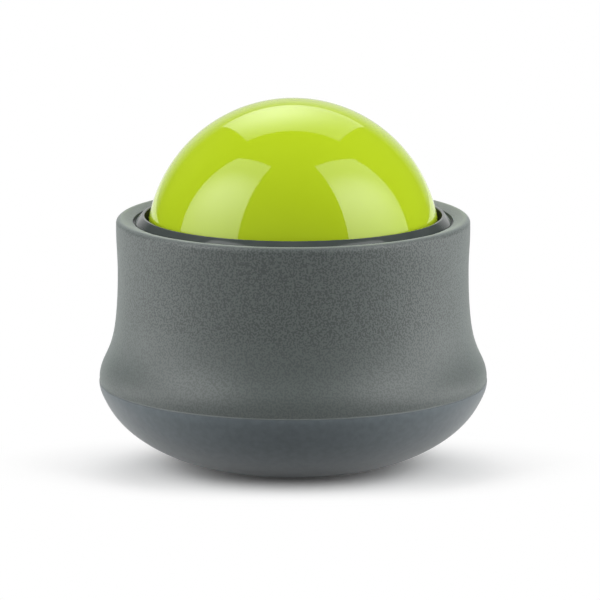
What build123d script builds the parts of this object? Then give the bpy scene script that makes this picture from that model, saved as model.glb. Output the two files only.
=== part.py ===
from build123d import *
import os
from math import cos, radians, sin, sqrt

os.makedirs("parts", exist_ok=True)

# Foot massage roller: a captive ball that turns every way in a round base that stands on the floor.
# The origin is on the floor, under the ball's centre, and +Z is up. Sizes are in millimetres.

# ---------------------------------------------------------------- driving dimensions

# Massage ball, moulded in three shots so that each wall cools without sinking
ball_radius = 38.0
skin_thickness = 4.0
core_radius = 12.0
layer_gap = 0.05

# Support balls that the massage ball rolls on, one ring of them below its equator
support_count = 8
support_radius = 4.0
support_latitude = 50.0
rolling_gap = 0.05
pocket_gap = 0.1
pocket_wall = 1.5
pocket_floor = 1.5

# Bearing cradle, the bowl that holds the support balls
cradle_wall = 3.0
cradle_rim_latitude = 30.3
cradle_edge_latitude = 66.0
cradle_rim_thickness = 3.0
cradle_fit = 0.2
cradle_foot_width = 2.0
cradle_floor_gap = 0.9

# Ball keeper, the thin cage over the pockets
keeper_gap = 0.8
keeper_thickness = 1.2
keeper_seat_gap = 0.05
keeper_hole_gap = 0.2
keeper_edge_latitude = 64.0
keeper_rim_margin = 0.8
peg_count = 4
peg_radius = 0.9
peg_inset = 2.0
peg_gap = 0.05
peg_head_radius = 1.5
peg_head_height = 0.6

# Socket housing, the rigid cup inside the base
bore_gap = 0.6
housing_wall = 2.7
housing_floor = 2.2
housing_post_length = 8.4
rim_above_centre = 5.8
flange_thickness = 2.3
grip_bead_height = 2.4
grip_bead_out = 0.8
grip_bead_below_centre = 2.0
rib_thickness = 1.6
seat_rib_depth = 2.0
belly_rib_count = 12
belly_rib_gap = 0.3

# Retaining ring, which snaps into the housing's mouth and keeps the ball in
ring_gap = 0.2
ring_lip_above_centre = 7.1
ring_skirt_wall = 1.6
ring_skirt_below_centre = 0.8
ring_fit = 0.1
ring_floor_gap = 0.2
bead_height = 2.2
bead_width = 2.5
bead_margin = 0.4
bead_land = 0.6
bead_edge = 0.35
bead_round = 0.15
snap_height = 1.6
snap_out = 0.4
snap_above_skirt_end = 1.2
slit_count = 12
slit_width = 1.2
slit_height = 5.0

# Grip sleeve, the soft-touch skin above the seam
sleeve_fit = 0.1
sleeve_wall = 4.0
rim_swell = 0.35
rim_side_above_centre = 4.0
lip_inner_rise = 0.7
lip_outer_rise = 2.2
lip_round = 1.2
waist_below_centre = 6.0
belly_swell = 4.95
# Flare from the waist to the belly: share of the way down, share of the swell
flare = ((0.41, 0.10), (0.61, 0.29), (0.745, 0.565), (0.88, 0.91))

# Base shell, the smooth bowl below the seam
seam_height = 21.7
seam_land = 3.05
seam_round = 0.2
base_wall = 2.8
foot_radius = 20.5
# Bowl from the seam to the foot: share of the way in, share of the way down
bowl = ((0.04, 0.187), (0.12, 0.374), (0.466, 0.766), (0.69, 0.9))
bowl_foot_slope = 0.11
tongue_height = 2.3
tongue_wall = 1.5
tongue_depth = 4.5

# Foot pad, the rubber disc that the base stands on
pad_radius = 18.5
pad_thickness = 1.6
pad_proud = 0.3
pad_gap = 0.15
pad_chamfer = 0.3
pad_centre_radius = 5.0
groove_count = 3
groove_width = 1.2
groove_depth = 0.4

# Screws: one set holds the base shell to the housing, the other the cradle in the housing
screw_count = 4
screw_gap = 0.2
pilot_gap = 0.05
tip_gap = 0.5
base_screw_radius = 1.5
base_screw_circle = 12.5
base_screw_seat = 2.0
base_screw_bite = 7.6
base_post_wall = 2.1
base_post_rise = 1.2
cradle_screw_radius = 1.25
cradle_screw_circle = 26.0
cradle_screw_bite = 6.0
cradle_post_wall = 2.1
head_radius_factor = 1.9
head_height_factor = 1.25
drive_width = 0.7
drive_depth = 1.0

# ---------------------------------------------------------------- sizes and places that follow

support_step = 360 / support_count
support_distance = ball_radius + rolling_gap + support_radius
pocket_radius = support_radius + pocket_gap
pocket_outer = pocket_radius + pocket_wall
pocket_end = support_distance + pocket_radius + pocket_floor
pocket_drop = pocket_end * sin(radians(support_latitude)) + pocket_outer * cos(radians(support_latitude))

pad_top = pad_thickness
base_floor_top = pad_top + base_wall
post_face = base_floor_top + base_post_rise
housing_underside = post_face + housing_post_length
housing_floor_top = housing_underside + housing_floor
ball_centre = housing_floor_top + cradle_floor_gap + pocket_drop
rim_height = ball_centre + rim_above_centre

keeper_inner = ball_radius + keeper_gap
keeper_outer = keeper_inner + keeper_thickness
keeper_hole_radius = sqrt(support_radius**2 - (support_distance - keeper_outer) ** 2) + keeper_hole_gap
cradle_inner = keeper_outer + keeper_seat_gap
cradle_outer = cradle_inner + cradle_wall
cradle_middle = (cradle_inner + cradle_outer) / 2
cradle_rim_top = ball_centre - cradle_inner * sin(radians(cradle_rim_latitude))
cradle_seat = cradle_rim_top - cradle_rim_thickness

housing_bore = ball_radius + bore_gap
housing_radius = housing_bore + housing_wall
cradle_radius = housing_bore - cradle_fit
keeper_radius = cradle_radius - keeper_rim_margin
peg_circle = cradle_radius - peg_inset

ring_inner = ball_radius + ring_gap
skirt_radius = ring_inner + ring_skirt_wall
skirt_end = ball_centre - ring_skirt_below_centre
ring_bore = skirt_radius + ring_fit
mouth_floor = skirt_end - ring_floor_gap
bead_radius = housing_radius - bead_margin
bead_top = rim_height + bead_height

sleeve_bore = housing_radius + sleeve_fit
waist_radius = sleeve_bore + sleeve_wall
waist_height = ball_centre - waist_below_centre
rim_radius = waist_radius + rim_swell
belly_radius = waist_radius + belly_swell
seam_inner = belly_radius - seam_land
flange_radius = seam_inner - sleeve_fit
flange_underside = seam_height + tongue_height
flange_top = flange_underside + flange_thickness

base_underside = pad_proud
base_post_radius = base_screw_radius + base_post_wall
base_screw_head = base_screw_radius * head_radius_factor
cradle_post_radius = cradle_screw_radius + cradle_post_wall
screw_start = support_step / 2
wall_middle = (ring_bore + housing_radius) / 2
grip_bead_middle = ball_centre - grip_bead_below_centre


def ball_section(radius, latitude):
    """Point in the XZ plane on a sphere about the ball's centre, latitude degrees below its equator."""
    angle = radians(latitude)
    return (radius * cos(angle), ball_centre - radius * sin(angle))


def ball_point(radius, height):
    """Point in the XZ plane on a sphere about the ball's centre, at a height above the floor."""
    return (sqrt(radius**2 - (height - ball_centre) ** 2), height)


def ball_arc(start, end):
    """Arc about the ball's centre between two points that lie at one distance from it."""
    centre = Vector(0, ball_centre)
    first = Vector(*start) - centre
    second = Vector(*end) - centre
    middle = centre + (first + second).normalized() * first.length
    return ThreePointArc(start, middle, end)


def support_plane(index, distance):
    """Plane square to the line from the ball's centre out through one support ball."""
    turn = radians(index * support_step)
    down = radians(support_latitude)
    outward = Vector(cos(down) * cos(turn), cos(down) * sin(turn), -sin(down))
    return Plane(origin=Vector(0, 0, ball_centre) + outward * distance, z_dir=outward)


def upright_plane(turn):
    """Plane through the upright axis, its own x pointing outwards, turned by degrees from the XZ plane."""
    angle = radians(turn)
    return Plane(origin=(0, 0, 0), x_dir=(cos(angle), sin(angle), 0), z_dir=(sin(angle), -cos(angle), 0))


def inset(curve, distance, share):
    """Point that lies the distance inside an outline drawn downwards, square to it."""
    place = curve @ share
    along = (curve % share).normalized()
    return (place.X + along.Y * distance, place.Y - along.X * distance)


def inset_share(curve, distance, height):
    """Share of the outline at which its inset point is at a height, found by halving."""
    low, high = 0.0, 1.0
    for _ in range(40):
        middle = (low + high) / 2
        if inset(curve, distance, middle)[1] > height:
            low = middle
        else:
            high = middle
    return low


def inset_line(curve, distance, start, end, count=9):
    """Points along the inset of an outline, from one share of it to another."""
    return [inset(curve, distance, start + (end - start) * step / (count - 1)) for step in range(count)]


def snap_outline(gap):
    """Snap bead of the retaining ring, or with a gap the groove that it clicks into."""
    low = skirt_end + snap_above_skirt_end - gap
    high = skirt_end + snap_above_skirt_end + snap_height + gap
    tip = skirt_radius + snap_out + gap
    slope = snap_out + gap
    return [(skirt_radius, low), (tip, low + slope), (tip, high - slope), (skirt_radius, high)]


def finish(piece, label):
    """Name a finished piece and write it to its own file."""
    piece.part.label = label
    export_step(piece.part, f"parts/{label}.step")


# Outline of the base, in the XZ plane: from the waist down to the seam, and from there to the foot
waist = (waist_radius, waist_height)
belly = (belly_radius, seam_height)
foot = (foot_radius, base_underside)
flare_drop = waist_height - seam_height
flare_points = [(waist_radius + out * belly_swell, waist_height - down * flare_drop) for down, out in flare]
flare_outline = Spline(waist, *flare_points, belly, tangents=[(0, -1), (0, -1)])
bowl_run = belly_radius - foot_radius
bowl_drop = seam_height - base_underside
bowl_points = [(belly_radius - inward * bowl_run, seam_height - down * bowl_drop) for inward, down in bowl]
bowl_outline = Spline(belly, *bowl_points, foot, tangents=[(0, -1), (-1, -bowl_foot_slope)])


# ---------------------------------------------------------------- massage ball

with BuildPart(Plane.XY.offset(ball_centre)) as ball_core:
    Sphere(radius=core_radius)
finish(ball_core, "ball_core")

with BuildPart(Plane.XY.offset(ball_centre)) as ball_body:
    Sphere(radius=ball_radius - skin_thickness - layer_gap)
    Sphere(radius=core_radius + layer_gap, mode=Mode.SUBTRACT)
finish(ball_body, "ball_body")

with BuildPart(Plane.XY.offset(ball_centre)) as ball_skin:
    Sphere(radius=ball_radius)
    Sphere(radius=ball_radius - skin_thickness, mode=Mode.SUBTRACT)
finish(ball_skin, "ball_skin")


# ---------------------------------------------------------------- support balls

for index in range(support_count):
    with BuildPart(support_plane(index, support_distance)) as support_ball:
        Sphere(radius=support_radius)
    finish(support_ball, f"support_ball_{index + 1}")


# ---------------------------------------------------------------- bearing cradle

with BuildPart() as bearing_cradle:
    # Bowl that follows the ball, with a flat rim that stands on the housing's ribs
    rim_inner = ball_point(cradle_inner, cradle_rim_top)
    edge_inner = ball_section(cradle_inner, cradle_edge_latitude)
    edge_outer = ball_section(cradle_outer, cradle_edge_latitude)
    rim_under = ball_point(cradle_outer, cradle_seat)
    with BuildSketch(Plane.XZ):
        with BuildLine():
            ball_arc(rim_inner, edge_inner)
            Line(edge_inner, edge_outer)
            ball_arc(edge_outer, rim_under)
            Polyline(rim_under, (cradle_radius, cradle_seat), (cradle_radius, cradle_rim_top), rim_inner)
        make_face()
    revolve(axis=Axis.Z)
    # Posts for the screws, between the pockets, up to the underside of the bowl
    with BuildSketch(Plane.XY.offset(housing_floor_top)):
        with PolarLocations(cradle_screw_circle, screw_count, start_angle=screw_start):
            Circle(cradle_post_radius)
    extrude(until=Until.NEXT)
    # Foot ring under the bowl's inner edge
    with BuildSketch(Plane.XY.offset(housing_floor_top)):
        Circle(edge_inner[0] + cradle_foot_width)
        Circle(edge_inner[0], mode=Mode.SUBTRACT)
    extrude(amount=edge_inner[1] - housing_floor_top)
    # Pocket housings on the underside of the bowl
    for index in range(support_count):
        with BuildSketch(support_plane(index, cradle_middle)):
            Circle(pocket_outer)
        extrude(amount=pocket_end - cradle_middle)
    # Pockets, open towards the ball
    for index in range(support_count):
        with BuildSketch(support_plane(index, support_distance)):
            Circle(pocket_radius)
        extrude(amount=keeper_inner - support_distance, mode=Mode.SUBTRACT)
        with Locations(support_plane(index, support_distance)):
            Sphere(radius=pocket_radius, mode=Mode.SUBTRACT)
    # Pilot holes for the screws, and holes in the rim for the keeper's pegs
    with BuildSketch(Plane.XY.offset(housing_floor_top)):
        with PolarLocations(cradle_screw_circle, screw_count, start_angle=screw_start):
            Circle(cradle_screw_radius + pilot_gap)
    extrude(amount=cradle_screw_bite + tip_gap, mode=Mode.SUBTRACT)
    with BuildSketch(Plane.XY.offset(cradle_seat)):
        with PolarLocations(peg_circle, peg_count):
            Circle(peg_radius + peg_gap)
    extrude(amount=cradle_rim_thickness, mode=Mode.SUBTRACT)
    # Spot faces that clear the pegs' staked ends
    with BuildSketch(Plane.XY.offset(cradle_seat)):
        with PolarLocations(peg_circle, peg_count):
            Circle(peg_head_radius + peg_gap)
    extrude(amount=-peg_head_height - peg_gap, mode=Mode.SUBTRACT)
finish(bearing_cradle, "bearing_cradle")


# ---------------------------------------------------------------- ball keeper

with BuildPart() as ball_keeper:
    # Thin cage that follows the ball, with a flat rim that lies on the cradle's
    keeper_top = cradle_rim_top + keeper_thickness
    rim_inner = ball_point(keeper_inner, keeper_top)
    edge_inner = ball_section(keeper_inner, keeper_edge_latitude)
    edge_outer = ball_section(keeper_outer, keeper_edge_latitude)
    rim_under = ball_point(keeper_outer, cradle_rim_top)
    with BuildSketch(Plane.XZ):
        with BuildLine():
            ball_arc(rim_inner, edge_inner)
            Line(edge_inner, edge_outer)
            ball_arc(edge_outer, rim_under)
            Polyline(rim_under, (keeper_radius, cradle_rim_top), (keeper_radius, keeper_top), rim_inner)
        make_face()
    revolve(axis=Axis.Z)
    # A hole over each pocket, smaller than the support ball that it keeps in
    for index in range(support_count):
        with BuildSketch(support_plane(index, ball_radius)):
            Circle(keeper_hole_radius)
        extrude(amount=support_distance - ball_radius, mode=Mode.SUBTRACT)
    # Pegs through the cradle's rim, their ends staked over below it
    with BuildSketch(Plane.XY.offset(cradle_rim_top)):
        with PolarLocations(peg_circle, peg_count):
            Circle(peg_radius)
    extrude(amount=-cradle_rim_thickness)
    with BuildSketch(Plane.XY.offset(cradle_seat)):
        with PolarLocations(peg_circle, peg_count):
            Circle(peg_head_radius)
    extrude(amount=-peg_head_height)
finish(ball_keeper, "ball_keeper")


# ---------------------------------------------------------------- socket housing

with BuildPart() as socket_housing:
    # Cup with a flange that holds the sleeve down and a stepped mouth for the retaining ring
    with BuildSketch(Plane.XZ):
        with BuildLine():
            Polyline(
                (0, housing_underside),
                (housing_radius, housing_underside),
                (housing_radius, flange_underside),
                (flange_radius, flange_underside),
                (flange_radius, flange_top),
                (housing_radius, flange_top),
                (housing_radius, rim_height),
                (ring_bore, rim_height),
                (ring_bore, mouth_floor),
                (housing_bore, mouth_floor),
                (housing_bore, housing_floor_top),
                (0, housing_floor_top),
                close=True,
            )
        make_face()
        with BuildLine():
            Polyline(*snap_outline(ring_fit), close=True)
        make_face(mode=Mode.SUBTRACT)
        # Rounded bead that keys the soft sleeve to the cup
        with Locations((housing_radius, grip_bead_middle)):
            Ellipse(grip_bead_out, grip_bead_height / 2)
    revolve(axis=Axis.Z)
    # Ribs inside the cup that carry the cradle's rim
    for index in range(support_count):
        with BuildSketch(upright_plane(screw_start + index * support_step)):
            with BuildLine():
                Polyline(
                    (housing_bore - seat_rib_depth, housing_underside),
                    (wall_middle, housing_underside),
                    (wall_middle, cradle_seat),
                    (housing_bore - seat_rib_depth, cradle_seat),
                    close=True,
                )
            make_face()
        extrude(amount=rib_thickness / 2, both=True)
    # Ribs outside the cup that back the belly of the sleeve
    rib_inset = sleeve_wall + belly_rib_gap
    rib_foot_share = inset_share(flare_outline, rib_inset, flange_underside)
    rib_edge = inset_line(flare_outline, rib_inset, 0, rib_foot_share)
    for index in range(belly_rib_count):
        with BuildSketch(upright_plane(index * 360 / belly_rib_count)):
            with BuildLine():
                Spline(*rib_edge)
                Polyline(rib_edge[-1], (wall_middle, flange_underside), (wall_middle, waist_height), rib_edge[0])
            make_face()
        extrude(amount=rib_thickness / 2, both=True)
    # Posts under the floor that the base shell is screwed to
    with BuildSketch(Plane.XY.offset(post_face)):
        with PolarLocations(base_screw_circle, screw_count, start_angle=screw_start):
            Circle(base_post_radius)
    extrude(amount=housing_post_length)
    with BuildSketch(Plane.XY.offset(post_face)):
        with PolarLocations(base_screw_circle, screw_count, start_angle=screw_start):
            Circle(base_screw_radius + pilot_gap)
    extrude(amount=base_screw_bite + tip_gap, mode=Mode.SUBTRACT)
    # Holes in the floor for the cradle's screws
    with BuildSketch(Plane.XY.offset(housing_underside)):
        with PolarLocations(cradle_screw_circle, screw_count, start_angle=screw_start):
            Circle(cradle_screw_radius + screw_gap)
    extrude(amount=housing_floor, mode=Mode.SUBTRACT)
finish(socket_housing, "socket_housing")


# ---------------------------------------------------------------- retaining ring

with BuildPart() as retaining_ring:
    # Hollow skirt that follows the ball, under a bead with a narrow flat top and a face that slopes outwards
    lip = ball_point(ring_inner, ball_centre + ring_lip_above_centre)
    skirt_foot = ball_point(ring_inner, skirt_end)
    with BuildSketch(Plane.XZ):
        with BuildLine():
            ball_arc(skirt_foot, lip)
            Polyline(
                lip,
                (bead_radius - bead_width, bead_top),
                (bead_radius - bead_width + bead_land, bead_top),
                (bead_radius, rim_height + bead_edge),
                (bead_radius, rim_height),
                (skirt_radius, rim_height),
                (skirt_radius, skirt_end),
                skirt_foot,
            )
        profile = make_face()
        fillet(profile.vertices().group_by(Axis.Y)[-1], radius=bead_round)
        with BuildLine():
            Polyline(*snap_outline(0), close=True)
        make_face()
    revolve(axis=Axis.Z)
    # Slits that let the skirt spring as the snap bead goes home
    with BuildSketch(Plane.XY.offset(skirt_end)):
        with PolarLocations((ring_inner + skirt_radius) / 2, slit_count):
            Rectangle(3 * ring_skirt_wall, slit_width)
    extrude(amount=slit_height, mode=Mode.SUBTRACT)
finish(retaining_ring, "retaining_ring")


# ---------------------------------------------------------------- grip sleeve

with BuildPart() as grip_sleeve:
    # Even wall that flares from the waist to the belly, with a sloping rounded lip on top
    shoulder_share = inset_share(flare_outline, sleeve_wall, flange_top)
    inner_edge = inset_line(flare_outline, sleeve_wall, 0, shoulder_share)
    rim_side = (rim_radius, ball_centre + rim_side_above_centre)
    with BuildSketch(Plane.XZ):
        with BuildLine():
            add(flare_outline)
            Spline(rim_side, waist, tangents=[(0, -1), (0, -1)])
            Polyline(
                rim_side,
                (rim_radius, rim_height + lip_outer_rise),
                (sleeve_bore, rim_height + lip_inner_rise),
                inner_edge[0],
            )
            Spline(*inner_edge, tangents=[(0, -1), flare_outline % shoulder_share])
            Polyline(inner_edge[-1], (seam_inner, flange_top), (seam_inner, seam_height), belly)
        profile = make_face()
        fillet(profile.vertices().sort_by(Axis.Y)[-1], radius=lip_round)
        fillet(profile.vertices().sort_by(Axis.X)[-1], radius=seam_round)
        # Groove for the bead on the housing
        with Locations((housing_radius, grip_bead_middle)):
            Ellipse(grip_bead_out + sleeve_fit, grip_bead_height / 2 + sleeve_fit, mode=Mode.SUBTRACT)
    revolve(axis=Axis.Z)
finish(grip_sleeve, "grip_sleeve")


# ---------------------------------------------------------------- base shell

with BuildPart() as base_shell:
    # Bowl with a tongue round its top that centres the sleeve and bears on the housing's flange
    ledge_height = flange_underside - tongue_depth
    tongue_inner = flange_radius - tongue_wall
    ledge_share = inset_share(bowl_outline, base_wall, ledge_height)
    floor_share = inset_share(bowl_outline, base_wall, base_floor_top)
    inner_edge = inset_line(bowl_outline, base_wall, ledge_share, floor_share)
    with BuildSketch(Plane.XZ):
        with BuildLine():
            add(bowl_outline)
            Spline(*inner_edge)
            Polyline(
                belly,
                (flange_radius, seam_height),
                (flange_radius, flange_underside),
                (tongue_inner, flange_underside),
                (tongue_inner, ledge_height),
                inner_edge[0],
            )
            Polyline(inner_edge[-1], (0, base_floor_top), (0, base_underside), foot)
        profile = make_face()
        fillet(profile.vertices().sort_by(Axis.X)[-1], radius=seam_round)
    revolve(axis=Axis.Z)
    # Posts round the screws, meeting the housing's posts
    with BuildSketch(Plane.XY.offset(base_floor_top)):
        with PolarLocations(base_screw_circle, screw_count, start_angle=screw_start):
            Circle(base_post_radius)
    extrude(amount=base_post_rise)
    # Recess for the foot pad, and the stepped screw holes that it covers
    with BuildSketch(Plane.XY.offset(base_underside)):
        Circle(pad_radius + pad_gap)
    extrude(amount=pad_top - base_underside, mode=Mode.SUBTRACT)
    with BuildSketch(Plane.XY.offset(pad_top)):
        with PolarLocations(base_screw_circle, screw_count, start_angle=screw_start):
            Circle(base_screw_head + screw_gap)
    extrude(amount=base_screw_seat, mode=Mode.SUBTRACT)
    with BuildSketch(Plane.XY.offset(pad_top)):
        with PolarLocations(base_screw_circle, screw_count, start_angle=screw_start):
            Circle(base_screw_radius + screw_gap)
    extrude(amount=post_face - pad_top, mode=Mode.SUBTRACT)
finish(base_shell, "base_shell")


# ---------------------------------------------------------------- foot pad

with BuildPart() as foot_pad:
    Cylinder(pad_radius, pad_thickness, align=(Align.CENTER, Align.CENTER, Align.MIN))
    chamfer(foot_pad.edges().group_by(Axis.Z)[0], length=pad_chamfer)
    # Rings of grooves that grip the floor
    groove_pitch = (pad_radius - pad_centre_radius) / groove_count
    with BuildSketch(Plane.XY):
        for index in range(groove_count):
            groove_radius = pad_centre_radius + index * groove_pitch
            Circle(groove_radius + groove_width)
            Circle(groove_radius, mode=Mode.SUBTRACT)
    extrude(amount=groove_depth, mode=Mode.SUBTRACT)
finish(foot_pad, "foot_pad")


# ---------------------------------------------------------------- screws


def screw_set(radius, circle, under_head, length):
    """Set of self-tapping screws driven upwards, spaced round a circle, heads below a seat height."""
    head_radius = radius * head_radius_factor
    head_height = radius * head_height_factor
    with BuildPart() as screws:
        with BuildSketch(Plane.XY.offset(under_head)):
            with PolarLocations(circle, screw_count, start_angle=screw_start):
                Circle(head_radius)
        extrude(amount=-head_height)
        fillet(screws.edges().group_by(Axis.Z)[0], radius=head_height / 2)
        with BuildSketch(Plane.XY.offset(under_head)):
            with PolarLocations(circle, screw_count, start_angle=screw_start):
                Circle(radius)
        extrude(amount=length)
        chamfer(screws.edges().group_by(Axis.Z)[-1], length=radius / 2)
        # Cross recess for the driver
        with BuildSketch(Plane.XY.offset(under_head - head_height)):
            with PolarLocations(circle, screw_count, start_angle=screw_start):
                Rectangle(head_radius, drive_width)
                Rectangle(drive_width, head_radius)
        extrude(amount=drive_depth, mode=Mode.SUBTRACT)
    return screws


base_screw_underhead = pad_top + base_screw_seat
base_screw_length = post_face - base_screw_underhead + base_screw_bite
base_screws = screw_set(base_screw_radius, base_screw_circle, base_screw_underhead, base_screw_length)
finish(base_screws, "base_screws")

cradle_screw_length = housing_floor + cradle_screw_bite
cradle_screws = screw_set(cradle_screw_radius, cradle_screw_circle, housing_underside, cradle_screw_length)
finish(cradle_screws, "cradle_screws")
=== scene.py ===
# %% [markdown]
# # A foot massage roller, dressed for the camera
#
# The object is a round base that stands on the floor and holds a glossy ball, which turns every way
# under the sole of a foot. The construction model already has every piece at its true size. This
# lesson puts the finish on it: smooth fine meshes where light runs over a curve, and a procedural
# material on each piece.

import math

import bmesh
import bpy
import numpy as np
from mathutils import Matrix, Vector


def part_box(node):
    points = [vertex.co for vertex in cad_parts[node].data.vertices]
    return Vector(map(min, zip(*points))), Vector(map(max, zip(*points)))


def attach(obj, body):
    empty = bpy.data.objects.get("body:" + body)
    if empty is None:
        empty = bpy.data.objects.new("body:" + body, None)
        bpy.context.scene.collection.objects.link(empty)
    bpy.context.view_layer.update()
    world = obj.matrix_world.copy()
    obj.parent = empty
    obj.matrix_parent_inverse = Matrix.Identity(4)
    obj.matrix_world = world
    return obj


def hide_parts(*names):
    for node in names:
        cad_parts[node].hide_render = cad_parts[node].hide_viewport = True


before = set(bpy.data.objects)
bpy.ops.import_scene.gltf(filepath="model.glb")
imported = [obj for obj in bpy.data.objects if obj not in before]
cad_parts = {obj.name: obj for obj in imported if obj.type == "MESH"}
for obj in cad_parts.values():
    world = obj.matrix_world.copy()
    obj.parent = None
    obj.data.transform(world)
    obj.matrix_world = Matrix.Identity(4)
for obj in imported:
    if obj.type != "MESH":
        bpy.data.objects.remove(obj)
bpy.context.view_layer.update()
MM = 0.001

# %% [markdown]
# ## Where things are
#
# Nothing is measured by eye here. The ball's centre and radius, the belly's radius and the height of
# the seam are read from the boxes of the construction nodes, so that the dressed pieces land exactly
# on the parts they cover. Typing the same numbers in again would work too, until the model changed.

# %% Read the main places from the frame
ball_low, ball_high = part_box("ball_skin")
BALL_RADIUS = (ball_high.z - ball_low.z) / 2
BALL_CENTRE = Vector((0.0, 0.0, (ball_high.z + ball_low.z) / 2))
BELLY_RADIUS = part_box("grip_sleeve")[1].x
SEAM_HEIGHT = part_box("grip_sleeve")[0].z
print("ball radius", round(BALL_RADIUS / MM, 2), "mm, belly radius", round(BELLY_RADIUS / MM, 2), "mm")
print("seam height", round(SEAM_HEIGHT / MM, 2), "mm")

# %% [markdown]
# ## Camera
#
# A long lens from well back keeps the base's sides from spreading, as a catalogue picture does. The
# camera looks down by about ten degrees, so that the mouth of the base shows as a thin ellipse. It
# aims a little below the ball, which leaves air above the object and room for its shadow.

# %% Place the camera
ELEVATION = math.radians(10.4)
CAMERA_DISTANCE = 1.3
SENSOR_WIDTH = 36.0
LENS = 301.6
AIM_BELOW_BALL = 14.33 * MM
AIM_RIGHT_OF_BALL = 1.76 * MM

towards_camera = Vector((0.0, -math.cos(ELEVATION), math.sin(ELEVATION)))
camera_up = Vector((0.0, math.sin(ELEVATION), math.cos(ELEVATION)))
aim = BALL_CENTRE - camera_up * AIM_BELOW_BALL + Vector((AIM_RIGHT_OF_BALL, 0.0, 0.0))

camera_data = bpy.data.cameras.new("camera")
camera_data.sensor_width = SENSOR_WIDTH
camera_data.lens = LENS
camera = bpy.data.objects.new("camera", camera_data)
camera.location = BALL_CENTRE + towards_camera * CAMERA_DISTANCE
camera.rotation_euler = (aim - camera.location).to_track_quat("-Z", "Y").to_euler()
bpy.context.scene.collection.objects.link(camera)
bpy.context.scene.camera = camera
print("camera at", [round(v, 3) for v in camera.location])

# %% [markdown]
# ## Wiring nodes
#
# Lights, world and materials are all graphs of nodes here. In the editor they are wired by hand. In a
# script that takes a line for every node, value and wire, so one small helper makes a node, sets it up
# and plugs its inputs in, and each later step reads as a list of nodes. An input takes a number, a
# colour, or a wire from another node.

# %% A helper that makes and wires a node


def add_node(tree, kind, inputs=None, **settings):
    """New node in a tree. Each input is given as a value, or as the output that feeds it."""
    node = tree.nodes.new("ShaderNode" + kind)
    for setting, value in settings.items():
        setattr(node, setting, value)
    for socket, source in (inputs or {}).items():
        if isinstance(source, bpy.types.NodeSocket):
            tree.links.new(source, node.inputs[socket])
        else:
            node.inputs[socket].default_value = source
    return node


print("node helper ready")

# %% [markdown]
# ## A soft box
#
# A glossy ball is a mirror of the studio, so the lights have to be real shapes. A lamp behind cloth
# could be a glowing mesh, but an area light is cleaner to sample. The cloth of a real soft box glows
# most where its lamp is, so the helper gives each box a hot place, from which its glow falls off
# towards the edges. The light's own places across and up, from 0 to 1 and named Parametric, say where
# on the cloth a ray left. With an energy of pi times the area, the strength is the brightness of the
# cloth itself, whatever its size.

# %% A helper that hangs a soft box


def soft_box(name, corner, along, upward, edge_glow, hot_glow, hot_place, hot_reach):
    """Rectangular light from one corner and its two edges, facing the ball, brighter round one place."""
    width, height = along.length, upward.length
    centre = corner + (along + upward) / 2
    x_axis = along.normalized()
    z_axis = x_axis.cross(upward.normalized()).normalized()
    flipped = z_axis.dot(centre - BALL_CENTRE) < 0
    if flipped:
        x_axis, z_axis = -x_axis, -z_axis
    y_axis = z_axis.cross(x_axis)

    light = bpy.data.lights.new(name, "AREA")
    light.shape = "RECTANGLE"
    light.size, light.size_y = width, height
    light.energy = math.pi * width * height
    light.use_nodes = True
    tree = light.node_tree
    hot = (1 - hot_place[0] if flipped else hot_place[0], hot_place[1], 0.0)
    reach = (hot_reach[0], hot_reach[1], 1.0)
    place = add_node(tree, "NewGeometry").outputs["Parametric"]
    from_hot = add_node(tree, "VectorMath", {0: place, 1: hot}, operation="SUBTRACT")
    in_reach = add_node(tree, "VectorMath", {0: from_hot.outputs[0], 1: reach}, operation="DIVIDE")
    away = add_node(tree, "VectorMath", {0: in_reach.outputs[0]}, operation="LENGTH")
    fall = {"Value": away.outputs["Value"], "To Min": hot_glow, "To Max": edge_glow}
    glow = add_node(tree, "MapRange", fall, interpolation_type="SMOOTHSTEP")
    tree.links.new(glow.outputs["Result"], tree.nodes["Emission"].inputs["Strength"])

    lamp = bpy.data.objects.new(name, light)
    lamp.matrix_world = Matrix.Translation(centre) @ Matrix((x_axis, y_axis, z_axis)).transposed().to_4x4()
    lamp.visible_camera = False
    bpy.context.scene.collection.objects.link(lamp)
    print(name, "is", round(width, 2), "by", round(height, 2), "m")


# %% [markdown]
# ## Studio light
#
# Two tall soft boxes stand left and right, each at about forty-five degrees to the camera's line, and
# a broad one hangs above and behind. They leave two long windows and a crown of light on the ball,
# light the base from both sides and let its front fall darker. A ring of light or a bright sky would
# be quicker to set up, but the ball would mirror that instead of a studio.

# %% Hang the soft boxes
SIDE_BOX_HEIGHT = Vector((0.0, 0.0, 2.5))
SIDE_BOX_GLOW = {"edge_glow": 2.0, "hot_glow": 4.9, "hot_reach": (0.8, 0.37)}

soft_box(
    "left_box",
    corner=BALL_CENTRE + Vector((-0.68, -0.70, 0.12)),
    along=Vector((-1.0, 1.0, 0.0)),
    upward=SIDE_BOX_HEIGHT,
    hot_place=(0.38, 0.295),
    **SIDE_BOX_GLOW,
)
soft_box(
    "right_box",
    corner=BALL_CENTRE + Vector((0.68, -0.70, 0.12)),
    along=Vector((1.20, 1.14, 0.0)),
    upward=SIDE_BOX_HEIGHT,
    hot_place=(0.26, 0.275),
    **SIDE_BOX_GLOW,
)
soft_box(
    "top_box",
    corner=BALL_CENTRE + Vector((-0.44, 0.32, 0.94)),
    along=Vector((0.88, 0.0, 0.0)),
    upward=Vector((0.0, 0.66, -0.38)),
    edge_glow=1.0,
    hot_glow=3.0,
    hot_place=(0.36, 0.5),
    hot_reach=(0.6, 0.7),
)

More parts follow.
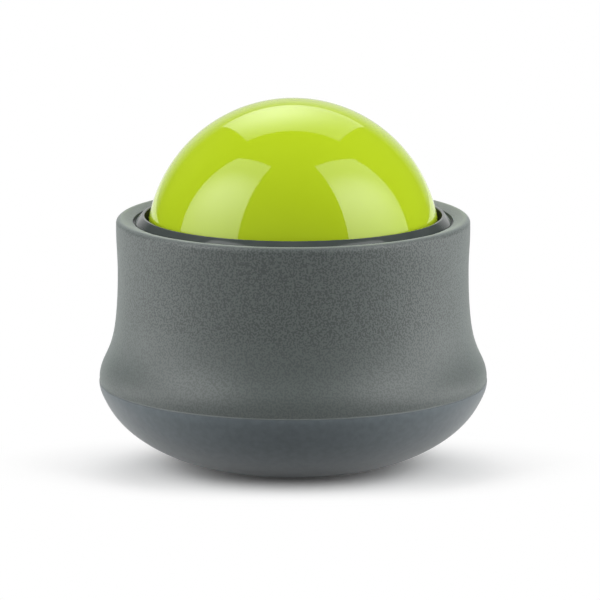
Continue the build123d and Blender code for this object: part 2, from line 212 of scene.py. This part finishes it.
# %% [markdown]
# ## Rim strips
#
# Two flat strips stand almost on the floor, left and right. Their light skims the sides of the base,
# where it brings out the velvet sheen of the rubber, and leaves the front of the base dark. Taller
# lights would do the same for the base, but the ball would show them. These are so low that their
# mirror image falls on the part of the ball that is sunk in the base.

# %% Stand the rim strips
STRIP_HEIGHT = 52 * MM
STRIP_PLACE = Vector((0.70, -0.24, 0.006))
STRIP_RUN = Vector((-0.08, 0.57, 0.0))
STRIP_EDGE = 0.7

for side, way, strip_glow in (("left", -1.0, 8.0), ("right", 1.0, 10.5)):
    across = Vector((way, 1.0, 1.0))
    soft_box(
        f"{side}_strip",
        corner=STRIP_PLACE * across,
        along=STRIP_RUN * across,
        upward=Vector((0.0, 0.0, STRIP_HEIGHT)),
        edge_glow=STRIP_EDGE * strip_glow,
        hot_glow=strip_glow,
        hot_place=(0.5, 0.5),
        hot_reach=(0.8, 1.2),
    )

# %% [markdown]
# ## World
#
# The background is plain white. A white world would be the quick way, but it would pour light over
# the object from all sides and wash out its shading. So the world is white to the camera only. A
# mirroring surface finds in it a soft white backdrop behind the object, which draws the pale line
# round the ball's edge. To everything else it is a dim even fill.

# %% A helper that tells the rays apart


def ray_kinds(tree):
    """Two wires: 1 for rays from the camera, and 1 for rays that were mirrored or came through glass."""
    paths = add_node(tree, "LightPath")
    bent = {0: paths.outputs["Is Glossy Ray"], 1: paths.outputs["Is Transmission Ray"]}
    return paths.outputs["Is Camera Ray"], add_node(tree, "Math", bent, operation="MAXIMUM").outputs[0]


print("ray helper ready")

# %% Build the world
FILL = 0.045
BACKDROP_GLOW = 0.75
BACKDROP_EDGE = (0.78, 0.95)
WHITE = (1.0, 1.0, 1.0, 1.0)

world = bpy.data.worlds.new("studio")
world.use_nodes = True
bpy.context.scene.world = world
tree = world.node_tree
from_camera, mirrored = ray_kinds(tree)
direction = add_node(tree, "TexCoord").outputs["Generated"]
backwards = add_node(tree, "SeparateXYZ", {0: direction}).outputs["Y"]
edge = {"Value": backwards, "From Min": BACKDROP_EDGE[0], "From Max": BACKDROP_EDGE[1]}
behind = add_node(tree, "MapRange", {**edge, "To Min": FILL, "To Max": BACKDROP_GLOW})
dim = add_node(tree, "Mix", {"Factor": mirrored, "A": FILL, "B": behind.outputs["Result"]})
seen = add_node(tree, "Math", {0: dim.outputs["Result"], 1: from_camera}, operation="MAXIMUM")
background = tree.nodes["Background"]
background.inputs["Color"].default_value = WHITE
tree.links.new(seen.outputs[0], background.inputs["Strength"])
print("world: fill", FILL, "and a backdrop of", BACKDROP_GLOW)

# %% [markdown]
# ## Floor
#
# The floor is a sheet of pale card, which isn't part of the object.
# Close to the object it is a plain matt surface that takes the shadow, with a faint painted glow that
# lifts the shadow. Further out it turns into pure white and meets the white world, so that no horizon
# shows. The matt place is an ellipse round the foot, twice as wide as it is deep. A curved sweep, as in
# a real studio, would do the same with more mesh. What the card throws back at the base is reckoned
# from a mid grey, because a snow white sheet of this size would fill the shadow side of the base.

# %% Lay the floor
FLOOR_SIZE = 8.0

half = FLOOR_SIZE / 2
corners = [(-half, -half, 0), (half, -half, 0), (half, half, 0), (-half, half, 0)]
floor_mesh = bpy.data.meshes.new("floor")
floor_mesh.from_pydata(corners, [], [(0, 1, 2, 3)])
floor = bpy.data.objects.new("floor", floor_mesh)
bpy.context.scene.collection.objects.link(floor)
print("floor is", FLOOR_SIZE, "m wide")

# %% Give the floor its white
FLOOR_BOUNCE = (0.28, 0.28, 0.28, 1.0)
FLOOR_SEEN = (1.05, 1.05, 1.05, 1.0)
# Painted light: a faint glow of the card near the object lifts its shadow.
SHADOW_LIFT = 0.03
SHADOW_CENTRE = (0.0, -0.008, 0.0)
SHADOW_SHAPE = (1.0, 2.0, 1.0)
SHADOW_NEAR = 0.026
SHADOW_FAR = 0.088

white_floor = bpy.data.materials.new("white_floor")
white_floor.use_nodes = True
tree = white_floor.node_tree
tree.nodes.clear()
place = add_node(tree, "NewGeometry").outputs["Position"]
centred = add_node(tree, "VectorMath", {0: place, 1: SHADOW_CENTRE}, operation="SUBTRACT")
shaped = add_node(tree, "VectorMath", {0: centred.outputs[0], 1: SHADOW_SHAPE}, operation="MULTIPLY")
away = add_node(tree, "VectorMath", {0: shaped.outputs[0]}, operation="LENGTH").outputs["Value"]
edge = {"Value": away, "From Min": SHADOW_NEAR, "From Max": SHADOW_FAR}
fade = add_node(tree, "MapRange", edge, interpolation_type="SMOOTHSTEP")
card = add_node(tree, "BsdfDiffuse", {"Color": FLOOR_SEEN})
lift = add_node(tree, "Emission", {"Strength": SHADOW_LIFT})
lifted = add_node(tree, "AddShader", {0: card.outputs[0], 1: lift.outputs[0]})
plain = add_node(tree, "Emission")
shown = {0: fade.outputs["Result"], 1: lifted.outputs[0], 2: plain.outputs[0]}
backdrop = add_node(tree, "MixShader", shown)
bounce = add_node(tree, "BsdfDiffuse", {"Color": FLOOR_BOUNCE})
from_camera, mirrored = ray_kinds(tree)
looked_at = add_node(tree, "Math", {0: from_camera, 1: mirrored}, operation="MAXIMUM")
by_ray = {0: looked_at.outputs[0], 1: bounce.outputs[0], 2: backdrop.outputs[0]}
surface = add_node(tree, "MixShader", by_ray)
add_node(tree, "OutputMaterial", {"Surface": surface.outputs[0]})
floor_mesh.materials.append(white_floor)
bpy.context.scene.view_settings.view_transform = "Standard"
print("the shadow's card fades to white", SHADOW_FAR, "m from the middle")

# %% [markdown]
# ## A smooth line
#
# The sleeve, the bowl and the ring are bodies of revolution, and each starts as a section: a line of
# points, each a radius and a height in millimetres. A curve could be drawn with Bezier handles. Here
# it is led through a few chosen places with no jump in its bend, as a draughtsman's spline is, and
# only its two end directions are given. With few places it has no ripples, and a highlight runs
# clean over it.

# %% A helper that draws a smooth line


def smooth_line(points, start_way, end_way, count):
    """Points of a smooth curve through a few places, leaving and arriving in the given directions."""
    places = np.array(points, dtype=float)
    steps = np.linalg.norm(np.diff(places, axis=0), axis=1)
    knots = np.concatenate(([0.0], np.cumsum(steps)))
    size = len(places)
    matrix = np.zeros((size, size))
    wanted = np.zeros((size, 2))
    matrix[0, 0] = matrix[-1, -1] = 1.0
    wanted[0] = np.array(start_way, dtype=float) / np.linalg.norm(start_way)
    wanted[-1] = np.array(end_way, dtype=float) / np.linalg.norm(end_way)
    for i in range(1, size - 1):
        before, after = steps[i - 1], steps[i]
        matrix[i, i - 1 : i + 2] = (after, 2 * (before + after), before)
        change_before = (places[i] - places[i - 1]) / before
        change_after = (places[i + 1] - places[i]) / after
        wanted[i] = 3 * (after * change_before + before * change_after)
    slopes = np.linalg.solve(matrix, wanted)
    line = []
    for at in np.linspace(0.0, knots[-1], count):
        i = min(np.searchsorted(knots, at, side="right") - 1, size - 2)
        u = (at - knots[i]) / steps[i]
        line.append(
            (1 + 2 * u) * (1 - u) ** 2 * places[i]
            + u**2 * (3 - 2 * u) * places[i + 1]
            + steps[i] * u * (1 - u) * ((1 - u) * slopes[i] - u * slopes[i + 1])
        )
    return [tuple(point) for point in line]


DOWN = (0.0, -1.0)
print("smooth line ready, straight down is", DOWN)

# %% [markdown]
# ## A lathe
#
# A section is spun round the upright axis, as on a lathe. The Screw modifier does that too. Building
# the faces directly keeps them in a known order, section by section, so that a second finish can be
# given to one stretch of the section, such as the bead at the seam. Corners sharper than a given
# angle stay crisp, and all the rest is shaded smooth.

# %% A helper that turns a section


def turn(name, section, steps=360, sharp_angle=35.0):
    """Closed section of (radius, height) points in millimetres, spun into a solid round the upright axis."""
    outline = np.array(section) * MM
    count = len(outline)
    angles = np.arange(steps) * 2 * math.pi / steps
    points = np.empty((steps, count, 3))
    points[:, :, 0] = np.cos(angles)[:, None] * outline[:, 0]
    points[:, :, 1] = np.sin(angles)[:, None] * outline[:, 0]
    points[:, :, 2] = outline[:, 1]
    faces = []
    for step in range(steps):
        here, there = step * count, (step + 1) % steps * count
        for at in range(count):
            after = (at + 1) % count
            faces.append((here + at, there + at, there + after, here + after))
    mesh = bpy.data.meshes.new(name)
    mesh.from_pydata(points.reshape(-1, 3), [], faces)
    mesh.update()
    shape = bmesh.new()
    shape.from_mesh(mesh)
    bmesh.ops.recalc_face_normals(shape, faces=shape.faces)
    shape.to_mesh(mesh)
    shape.free()
    mesh.shade_smooth()
    mesh.set_sharp_from_angle(angle=math.radians(sharp_angle))
    piece = bpy.data.objects.new(name, mesh)
    bpy.context.scene.collection.objects.link(piece)
    print(name, "has", len(mesh.vertices), "points, radius up to", round(outline[:, 0].max() / MM, 2), "mm")
    return piece


print("lathe ready")

# %% A helper that finishes a stretch of the section


def second_finish(piece, section, starts, material):
    """Give the faces that were spun from some stretches of a section another material."""
    mesh = piece.data
    mesh.materials.append(material)
    for face in mesh.polygons:
        if face.index % len(section) in starts:
            face.material_index = len(mesh.materials) - 1
    print(piece.name, "has", material.name, "as its second finish")


# %% [markdown]
# ## Materials
#
# Every finish here is a moulded or a turned surface, so its colour, its roughness and its fine
# relief all vary a little over the part. One flat colour would look like a drawing, and an image
# would need unwrapping. The helper makes a colour that drifts between two near tones, a roughness
# that drifts between two values, and a relief at the real depth and spacing, all read from the
# object's own coordinates, so that nothing slides when a piece turns.

# %% A helper for moulded finishes
TONE_STOPS = (0.35, 0.65)


def finish(name, low, high, tone_size, rough, relief_size, relief_depth, **sockets):
    """Material whose tone, roughness and relief vary over the surface. Sizes are in millimetres."""
    material = bpy.data.materials.new(name)
    material.use_nodes = True
    tree = material.node_tree
    shader = tree.nodes["Principled BSDF"]
    where = add_node(tree, "TexCoord").outputs["Object"]
    tone = add_node(tree, "TexNoise", {"Vector": where, "Scale": 1000.0 / tone_size, "Detail": 4.0})
    colours = add_node(tree, "ValToRGB", {"Fac": tone.outputs["Fac"]})
    for stop, position, colour in zip(colours.color_ramp.elements, TONE_STOPS, (low, high)):
        stop.position = position
        stop.color = (*colour, 1.0)
    relief = add_node(tree, "TexNoise", {"Vector": where, "Scale": 1000.0 / relief_size, "Detail": 3.0})
    uneven = relief.outputs["Fac"]
    gloss = add_node(tree, "MapRange", {"Value": uneven, "To Min": rough[0], "To Max": rough[1]})
    bump = add_node(tree, "Bump", {"Height": uneven, "Distance": relief_depth * MM})
    tree.links.new(colours.outputs["Color"], shader.inputs["Base Color"])
    tree.links.new(gloss.outputs["Result"], shader.inputs["Roughness"])
    tree.links.new(bump.outputs["Normal"], shader.inputs["Normal"])
    for socket, value in sockets.items():
        shader.inputs[socket.replace("_", " ")].default_value = value
    print(name, "is between", rough[0], "and", rough[1], "rough")
    return material


print("finish helper ready")

# %% A helper that dresses a construction node


def dress(node, material):
    """Give a construction node that stays in view its finish."""
    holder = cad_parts[node]
    for slot in holder.material_slots:
        slot.material = material
    print(node, "wears", material.name)


# %% [markdown]
# ## The ball
#
# The ball is a glossy moulding the size of a small orange, and its polish shows every unevenness
# of the mesh. A globe of rings and segments pinches at its poles, which a reflection would show.
# A cube whose faces are divided and pushed out to the sphere has even four-sided faces all over,
# and is made that way here, from the radius of the construction ball. The two calls after it make
# the mesh move with the ball's body and hide the construction ball that it stands for.

# %% Make the ball
BALL_CUTS = 47

shape = bmesh.new()
bmesh.ops.create_cube(shape, size=2.0)
bmesh.ops.subdivide_edges(shape, edges=shape.edges[:], cuts=BALL_CUTS, use_grid_fill=True)
for point in shape.verts:
    even = Vector([math.tan(c * math.pi / 4) for c in point.co])
    point.co = BALL_CENTRE + even.normalized() * BALL_RADIUS
ball_mesh = bpy.data.meshes.new("massage_ball")
shape.to_mesh(ball_mesh)
shape.free()
ball_mesh.shade_smooth()
massage_ball = bpy.data.objects.new("massage_ball", ball_mesh)
bpy.context.scene.collection.objects.link(massage_ball)
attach(massage_ball, "ball_skin")
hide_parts("ball_skin")
print("ball has", len(ball_mesh.vertices), "points")

# %% Polish the ball
lime = finish(
    "lime_gloss",
    low=(0.49, 0.655, 0.015),
    high=(0.51, 0.675, 0.020),
    tone_size=30.0,
    rough=(0.03, 0.05),
    relief_size=9.0,
    relief_depth=0.004,
    IOR=1.5,
)
ball_mesh.materials.append(lime)
print(massage_ball.name, "wears", lime.name)

# %% [markdown]
# ## The grain of the rubber
#
# Soft-touch rubber is moulded in a tool with an etched grain: low rounded bumps, under half a
# millimetre across, with creases between them. A cell pattern looks too much like leather here. Soft
# noise without fine detail is better: cut off above and below, it leaves flat-topped bumps that run
# into each other at random, and a little finer noise keeps them from looking stamped.

# %% Draw the grain
GRAIN = 0.44
FINE_GRAIN = 0.6 * GRAIN
FINE_SHARE = 0.25
GRAIN_CUT = (0.38, 0.6)


def grain_bumps(tree, where):
    """Two wires: the bare bumps, from 0 in a crease to 1 on a top, and the bumps with finer noise."""
    folds = add_node(tree, "TexNoise", {"Vector": where, "Scale": 1000.0 / GRAIN, "Detail": 0.0})
    cut = {"Value": folds.outputs["Fac"], "From Min": GRAIN_CUT[0], "From Max": GRAIN_CUT[1]}
    bumps = add_node(tree, "MapRange", cut, interpolation_type="SMOOTHSTEP").outputs["Result"]
    fine = add_node(tree, "TexNoise", {"Vector": where, "Scale": 1000.0 / FINE_GRAIN, "Detail": 1.0})
    mixed = add_node(tree, "Mix", {"Factor": FINE_SHARE, "A": bumps, "B": fine.outputs["Fac"]})
    return bumps, mixed.outputs["Result"]


print("grain is", GRAIN, "mm, with finer noise of", round(FINE_GRAIN, 3), "mm")

# %% [markdown]
# ## Where the grain fades
#
# The tool is polished at the lip, so the grain all but ends there, and towards the belly it grows
# shallow. Both could be painted on by hand. They depend on height alone, so two ramps over the
# object's own height say it exactly. A third ramp paints the rubber paler round the middle of the
# flare: painted light, for the light from above that falls on its upward-tilted face.

# %% Fade the grain by height
# Painted light: the rubber is drawn paler on the flare, where the light from above falls on it.
FLARE_PAINTED_LIGHT = ((22.0, 0.42), (26.0, 0.52), (31.0, 0.66), (37.0, 0.66), (44.0, 0.5))
SHADE_SPAN = 100.0


def by_height(tree, height, heights, start, end):
    """A wire that goes from one value to another between two heights in millimetres."""
    span = {"Value": height, "From Min": heights[0] * MM, "From Max": heights[1] * MM}
    return add_node(tree, "MapRange", {**span, "To Min": start, "To Max": end}).outputs["Result"]


def painted_flare_light(tree, height):
    """Lightness at each height from the pairs of height and lightness, with painted light on the flare."""
    upright = add_node(tree, "Math", {0: height, 1: 1 / (SHADE_SPAN * MM)}, operation="MULTIPLY")
    shade = add_node(tree, "ValToRGB", {"Fac": upright.outputs[0]})
    ramp = shade.color_ramp
    ramp.interpolation = "EASE"
    for place, lightness in FLARE_PAINTED_LIGHT:
        ramp.elements.new(place / SHADE_SPAN).color = (lightness, lightness, lightness, 1.0)
    ramp.elements.remove(ramp.elements[0])
    ramp.elements.remove(ramp.elements[-1])
    return shade.outputs["Color"]


print("rubber is palest between", FLARE_PAINTED_LIGHT[2][0], "and", FLARE_PAINTED_LIGHT[3][0], "mm up")

# %% [markdown]
# ## The rubber
#
# The creases are painted darker than the bumps, partly for dust and partly as painted shade, and they
# are a little rougher. The same bumps therefore drive colour, roughness and relief. The lip, with hardly
# any grain, takes one even roughness. Soft-touch rubber has a faint velvet sheen at its edges, which
# the sheen of the shader gives. Real relief in the mesh would need millions of faces, so the bumps are
# left to the shading.

# %% Mix the rubber
GRAIN_DEPTH = 0.022
# Painted shade: the crease grey is darker partly for dust and partly for the shade in the creases.
CREASE_GREY = (0.058, 0.069, 0.066, 1.0)
BUMP_GREY = (0.108, 0.126, 0.121, 1.0)
GREY_STOPS = (0.2, 0.8)
CREASE_ROUGH = 0.52
BUMP_ROUGH = 0.44
LIP_ROUGH = 0.46
GRAIN_TOP = (63.6, 64.6)
LIP_GRAIN = 0.15
GRAIN_BELLY = (26.0, 46.0)
BELLY_GRAIN = 0.35


def grained_rubber():
    """Dark grey soft-touch rubber, grained at the waist, calmer on the belly and even on the lip."""
    material = bpy.data.materials.new("soft_touch_rubber")
    material.use_nodes = True
    tree = material.node_tree
    shader = tree.nodes["Principled BSDF"]
    shader.inputs["Sheen Weight"].default_value = 0.6
    shader.inputs["Sheen Roughness"].default_value = 0.5
    shader.inputs["Sheen Tint"].default_value = (0.9, 1.0, 0.96, 1.0)
    where = add_node(tree, "TexCoord").outputs["Object"]
    height = add_node(tree, "SeparateXYZ", {0: where}).outputs["Z"]
    bumps, uneven = grain_bumps(tree, where)
    off_lip = by_height(tree, height, GRAIN_TOP, 1.0, LIP_GRAIN)
    off_belly = by_height(tree, height, GRAIN_BELLY, BELLY_GRAIN, 1.0)
    strength = add_node(tree, "Math", {0: off_belly, 1: off_lip}, operation="MULTIPLY").outputs[0]

    relief = {"Strength": strength, "Distance": GRAIN_DEPTH * MM, "Height": bumps}
    bump = add_node(tree, "Bump", relief)
    tree.links.new(bump.outputs["Normal"], shader.inputs["Normal"])

    about_zero = add_node(tree, "Math", {0: uneven, 1: 0.5}, operation="SUBTRACT").outputs[0]
    # The tone adds the painted light of the flare to the grain.
    lightness = {0: about_zero, 1: strength, 2: painted_flare_light(tree, height)}
    tone = add_node(tree, "Math", lightness, operation="MULTIPLY_ADD").outputs[0]
    colours = add_node(tree, "ValToRGB", {"Fac": tone})
    for stop, position, colour in zip(colours.color_ramp.elements, GREY_STOPS, (CREASE_GREY, BUMP_GREY)):
        stop.position = position
        stop.color = colour
    tree.links.new(colours.outputs["Color"], shader.inputs["Base Color"])

    gloss = add_node(tree, "MapRange", {"Value": bumps, "To Min": CREASE_ROUGH, "To Max": BUMP_ROUGH})
    polish = add_node(tree, "Mix", {"Factor": off_lip, "A": LIP_ROUGH, "B": gloss.outputs["Result"]})
    tree.links.new(polish.outputs["Result"], shader.inputs["Roughness"])
    return material


rubber = grained_rubber()
print(rubber.name, "has bumps", GRAIN, "mm apart and", GRAIN_DEPTH, "mm high")

# %% [markdown]
# ## The section of the grip sleeve
#
# The sleeve is a thick skin of soft-touch rubber. Its side is drawn in to a waist for the fingers
# and swells to a belly at the seam. The rim has a rounded lip that slopes in towards the ring. At
# its lower edge the joint of the tool leaves a fine bead, the flash line, which catches the light.
# One closed line holds all of it: from the bore over the lip, down the outside to the bead, and back
# up inside, past the rebate that sits on the cup. The places on the flare are shares of the way down
# from the waist and out to the belly, so they follow when either of those moves. Straight lines and
# arcs would draw it too, but each joint between them would show as a kink in the highlight.

# %% Set the sleeve's sizes
WAIST = (45.4, 51.2)
RIM_SIDE = (45.75, 61.2)
LIP_TOP = 65.2
LIP_ROUND = 1.5
RIM_HEIGHT = 63.7
FLARE = ((0.41, 0.10), (0.61, 0.29), (0.745, 0.565), (0.88, 0.91))
BEAD_ROUND = 0.12
BEAD_OUT = 0.09
BEAD_GAP = 0.06
SLEEVE_BORE = 41.4
BORE_FOOT = 33.0
REBATE_RADIUS = 47.3
REBATE_TOP = 26.3

belly = (BELLY_RADIUS / MM, SEAM_HEIGHT / MM)
print("waist radius", WAIST[0], "mm, belly radius", round(belly[0], 2), "mm")

# %% A helper that draws an arc


def arc(centre, radius, start, end, count):
    """Points of an arc in the section, between two angles from the outward direction."""
    angles = np.linspace(start, end, count)
    return [(centre[0] + radius * math.cos(a), centre[1] + radius * math.sin(a)) for a in angles]


print("arc helper ready")

# %% Draw the sleeve
drop, swell = WAIST[1] - belly[1], belly[0] - WAIST[0]
flare_points = [(WAIST[0] + out * swell, WAIST[1] - down * drop) for down, out in FLARE]
upper = smooth_line([RIM_SIDE, WAIST], DOWN, DOWN, 24)
flare = smooth_line([WAIST, *flare_points, belly], DOWN, DOWN, 90)
slope = math.atan2(LIP_TOP - RIM_HEIGHT, RIM_SIDE[0] - SLEEVE_BORE)
lip_reach = LIP_ROUND / math.tan((math.pi / 2 - slope) / 2)
lip_centre = (RIM_SIDE[0] - LIP_ROUND, LIP_TOP - lip_reach)
lip = arc(lip_centre, LIP_ROUND, math.pi / 2 + slope, 0.0, 16)
bead_centre = (belly[0] - BEAD_ROUND, belly[1] + BEAD_GAP + BEAD_ROUND)
bead = arc(bead_centre, BEAD_ROUND, math.pi / 2, -math.pi / 2, 13)
flare = [(min(r, belly[0] - BEAD_OUT), h) for r, h in flare if h > bead_centre[1] + BEAD_ROUND]
sleeve_section = [
    (SLEEVE_BORE, RIM_HEIGHT),
    *lip,
    *upper,
    *flare[1:],
    *bead,
    (REBATE_RADIUS, belly[1] + BEAD_GAP),
    (REBATE_RADIUS, REBATE_TOP),
    (SLEEVE_BORE, BORE_FOOT),
]
print("sleeve section has", len(sleeve_section), "points")
print("its lip slopes by", round(math.degrees(slope)), "degrees")

# %% [markdown]
# ## The grip sleeve
#
# The section is spun into the sleeve. The flash line is squeezed rubber without grain, so it shines a
# little more, and its colour is painted paler than the skin as a painted highlight. It could be a line
# in the material, but a real bead also catches the light on its upper side and shades the bowl below.

# %% Turn and finish the sleeve
grip = turn("soft_grip", sleeve_section)
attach(grip, "base")
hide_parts("grip_sleeve")
grip.data.materials.append(rubber)
# Painted highlight: the flash line's colour is drawn paler than the rubber.
seam_flash_painted_highlight = finish(
    "seam_flash_painted_highlight",
    low=(0.19, 0.212, 0.207),
    high=(0.22, 0.242, 0.237),
    tone_size=1.0,
    rough=(0.3, 0.4),
    relief_size=0.4,
    relief_depth=0.004,
)
bead_start = sleeve_section.index(bead[0])
second_finish(grip, sleeve_section, range(bead_start - 1, bead_start + len(bead) - 1), seam_flash_painted_highlight)
print("the flash line stands out", BEAD_OUT, "mm")

# %% [markdown]
# ## The section of the base bowl
#
# Below the seam the base is one smooth moulded bowl that curves in to a small flat foot, so the
# whole thing seems to float. The section is again one curve, through places given as shares of the
# way in to the foot and down to it. The wall inside could be left out for a view from the front. It
# is drawn because the part is also taken apart, so the bowl has its thickness, the recess of the foot
# pad and the tongue that fits inside the sleeve. A small round softens the shoulder below the seam.

# %% Set the bowl's sizes
FOOT = (20.5, 0.3)
FOOT_SLOPE = 0.11
BOWL = ((0.04, 0.187), (0.12, 0.374), (0.466, 0.766), (0.69, 0.9))
BOWL_ROUND = 0.12
WALL = 2.8
INSIDE_TOP = 19.0
INSIDE_FOOT = 20.0
PAD_RECESS = 18.8
PAD_SEAT = 1.6
FLOOR_TOP = 4.4
TONGUE_ROOT = (44.2, 19.5)
TONGUE_INSIDE = 45.6
TONGUE_OUTSIDE = 47.1
TONGUE_TOP = 24.0
print("foot radius", FOOT[0], "mm, wall", WALL, "mm")

# %% Draw the bowl
run, fall = belly[0] - FOOT[0], belly[1] - FOOT[1]
bowl_points = [(belly[0] - inward * run, belly[1] - down * fall) for inward, down in BOWL]
outside = smooth_line([belly, *bowl_points, FOOT], DOWN, (-1, -FOOT_SLOPE), 110)
line = np.array(outside)
along = np.gradient(line, axis=0)
along /= np.linalg.norm(along, axis=1)[:, None]
inside = line + WALL * np.column_stack((along[:, 1], -along[:, 0]))
inside = [tuple(point) for point in inside[::-1] if point[1] < INSIDE_TOP and point[0] > INSIDE_FOOT]
outside = [point for point in outside if point[1] < belly[1] - BOWL_ROUND]
shoulder_centre = (belly[0] - BOWL_ROUND, belly[1] - BOWL_ROUND)
bowl_section = [
    *arc(shoulder_centre, BOWL_ROUND, math.pi / 2, 0.0, 6),
    *outside,
    (PAD_RECESS, FOOT[1]),
    (PAD_RECESS, PAD_SEAT),
    (PAD_RECESS, FLOOR_TOP),
    *inside,
    TONGUE_ROOT,
    (TONGUE_INSIDE, TONGUE_TOP),
    (TONGUE_OUTSIDE, TONGUE_TOP),
    (TONGUE_OUTSIDE, belly[1]),
]
print("bowl section has", len(bowl_section), "points")

# %% [markdown]
# ## The base bowl
#
# The bowl is a hard moulding with a fine satin texture, a shade bluer than the rubber. Satin scatters
# what it mirrors, so it is rough, with a low mirror share and a little sheen, which stands in for the
# fine texture that lights up where it is seen edge on.

# %% Turn and finish the bowl
bowl = turn("base_bowl", bowl_section)
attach(bowl, "base")
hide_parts("base_shell")
satin = finish(
    "satin_moulding",
    low=(0.130, 0.157, 0.171),
    high=(0.152, 0.182, 0.197),
    tone_size=1.8,
    rough=(0.36, 0.46),
    relief_size=0.5,
    relief_depth=0.012,
    Sheen_Weight=0.3,
    Sheen_Roughness=0.5,
    Specular_IOR_Level=0.18,
)
bowl.data.materials.append(satin)
print(bowl.name, "wears", satin.name)

# %% [markdown]
# ## The section of the retaining ring
#
# The ring snaps into the mouth of the base and keeps the ball in. It is a wedge: a narrow flat land
# beside the ball, and from there a broad face that slopes outwards, down to the sleeve. On a glossy
# part the corners matter most, because each one draws a line of light. A bevel modifier would round
# them, and here they are rounds in the section, which is as easy and keeps their size exact.

# %% Set the ring's sizes
RING_EDGE = 38.4
RING_LAND = 0.7
RING_OUTER = 40.9
RING_TOP = 65.2
RING_SEAT = 63.0
RING_WALL = 0.35
RING_ROUND = 0.25
RING_MOUTH = 62.5
RING_LIP = 37.85
RING_CHAMFER = (0.25, 0.1)
RING_SKIRT = 39.8
RING_FOOT = 56.4
RING_BORE_FOOT = 38.25
RING_BORE = (38.2, 60.0)
print("gap from the ring's edge to the ball at its middle", round(RING_EDGE - BALL_RADIUS / MM, 2), "mm")

# %% A helper that rounds a corner


def rounded(before, corner, after, radius=RING_ROUND, count=7):
    """Points of a round between two straight lines that meet at a corner."""
    before, corner, after = Vector(before), Vector(corner), Vector(after)
    to_before, to_after = (before - corner).normalized(), (after - corner).normalized()
    half_angle = to_before.angle(to_after) / 2
    centre = corner + (to_before + to_after).normalized() * radius / math.sin(half_angle)
    start = corner + to_before * radius / math.tan(half_angle) - centre
    end = corner + to_after * radius / math.tan(half_angle) - centre
    return [tuple(centre + radius * start.slerp(end, i / (count - 1))) for i in range(count)]


print("rounds on the ring are", RING_ROUND, "mm")

# %% Draw the ring
mouth = (RING_EDGE, RING_MOUTH)
land_inside = (RING_EDGE, RING_TOP)
land_outside = (RING_EDGE + RING_LAND, RING_TOP)
rim = (RING_OUTER, RING_SEAT + RING_WALL)
seat = (RING_OUTER, RING_SEAT)
ring_section = [
    (RING_LIP, RING_MOUTH),
    (RING_EDGE - RING_CHAMFER[0], RING_MOUTH + RING_CHAMFER[1]),
    *rounded(mouth, land_inside, land_outside),
    *rounded(land_inside, land_outside, rim),
    *rounded(land_outside, rim, seat),
    seat,
    (RING_SKIRT, RING_SEAT),
    (RING_SKIRT, RING_FOOT),
    (RING_BORE_FOOT, RING_FOOT),
    RING_BORE,
]
print("ring section has", len(ring_section), "points")

# %% [markdown]
# ## The retaining ring
#
# The ring is glossy, so it mirrors the soft boxes along its slope and the ball along its land. The
# faces inside its mouth are matt and painted nearly black, which is painted shade for the dark gap
# beside the ball, and a glossy face there would show the ball a second time.

# %% Turn and finish the ring
snap_ring = turn("snap_ring", ring_section, sharp_angle=50.0)
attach(snap_ring, "base")
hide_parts("retaining_ring")
ring_gloss = finish(
    "ring_gloss",
    low=(0.062, 0.074, 0.070),
    high=(0.072, 0.084, 0.080),
    tone_size=6.0,
    rough=(0.05, 0.09),
    relief_size=2.0,
    relief_depth=0.004,
)
# Painted shade: the faces inside the mouth are drawn nearly black for the shadow in the gap.
mouth_painted_shade = finish(
    "mouth_painted_shade",
    low=(0.012, 0.014, 0.013),
    high=(0.018, 0.02, 0.019),
    tone_size=2.0,
    rough=(0.7, 0.85),
    relief_size=0.6,
    relief_depth=0.01,
)
snap_ring.data.materials.append(ring_gloss)
# The faces inside the mouth take the painted shade.
second_finish(snap_ring, ring_section, (0, 1, len(ring_section) - 1), mouth_painted_shade)
print("the ring's mouth is", round(2 * RING_EDGE, 1), "mm across")

# %% [markdown]
# ## The inner pieces
#
# The cup, the cradle with its cage and bearing balls, the screws, the foot pad and the inner shots of
# the ball are hardly seen: in the narrow gap beside the ring, from below, or when the object is taken
# apart. They could all share one grey. But each is of its own stuff on the real object, a bright
# steel ball in a white slippery cradle for one, so each keeps its construction mesh and gets its own
# finish.

# %% Mix the inner finishes
housing_satin = finish(
    "housing_satin",
    low=(0.06, 0.066, 0.075),
    high=(0.07, 0.076, 0.085),
    tone_size=3.0,
    rough=(0.35, 0.45),
    relief_size=0.6,
    relief_depth=0.01,
)
acetal = finish(
    "natural_acetal",
    low=(0.74, 0.73, 0.68),
    high=(0.82, 0.81, 0.77),
    tone_size=8.0,
    rough=(0.35, 0.45),
    relief_size=1.2,
    relief_depth=0.01,
)
foot_rubber = finish(
    "foot_rubber",
    low=(0.03, 0.03, 0.033),
    high=(0.05, 0.05, 0.055),
    tone_size=1.0,
    rough=(0.7, 0.85),
    relief_size=0.5,
    relief_depth=0.03,
)
zinc = finish(
    "zinc_plate",
    low=(0.56, 0.56, 0.53),
    high=(0.68, 0.68, 0.65),
    tone_size=1.5,
    rough=(0.25, 0.4),
    relief_size=0.3,
    relief_depth=0.006,
    Metallic=1.0,
)
bearing = finish(
    "bearing_steel",
    low=(0.74, 0.74, 0.75),
    high=(0.8, 0.8, 0.81),
    tone_size=4.0,
    rough=(0.05, 0.09),
    relief_size=1.0,
    relief_depth=0.001,
    Metallic=1.0,
)
core_shot = finish(
    "core_moulding",
    low=(0.72, 0.75, 0.62),
    high=(0.8, 0.83, 0.7),
    tone_size=9.0,
    rough=(0.3, 0.4),
    relief_size=1.5,
    relief_depth=0.01,
)

# %% Dress the inner pieces
worn = {
    "socket_housing": housing_satin,
    "bearing_cradle": acetal,
    "ball_keeper": acetal,
    "foot_pad": foot_rubber,
    "base_screws": zinc,
    "cradle_screws": zinc,
    **{f"support_ball_{number}": bearing for number in range(1, 9)},
    "ball_core": core_shot,
    "ball_body": core_shot,
}
for node, material in worn.items():
    dress(node, material)
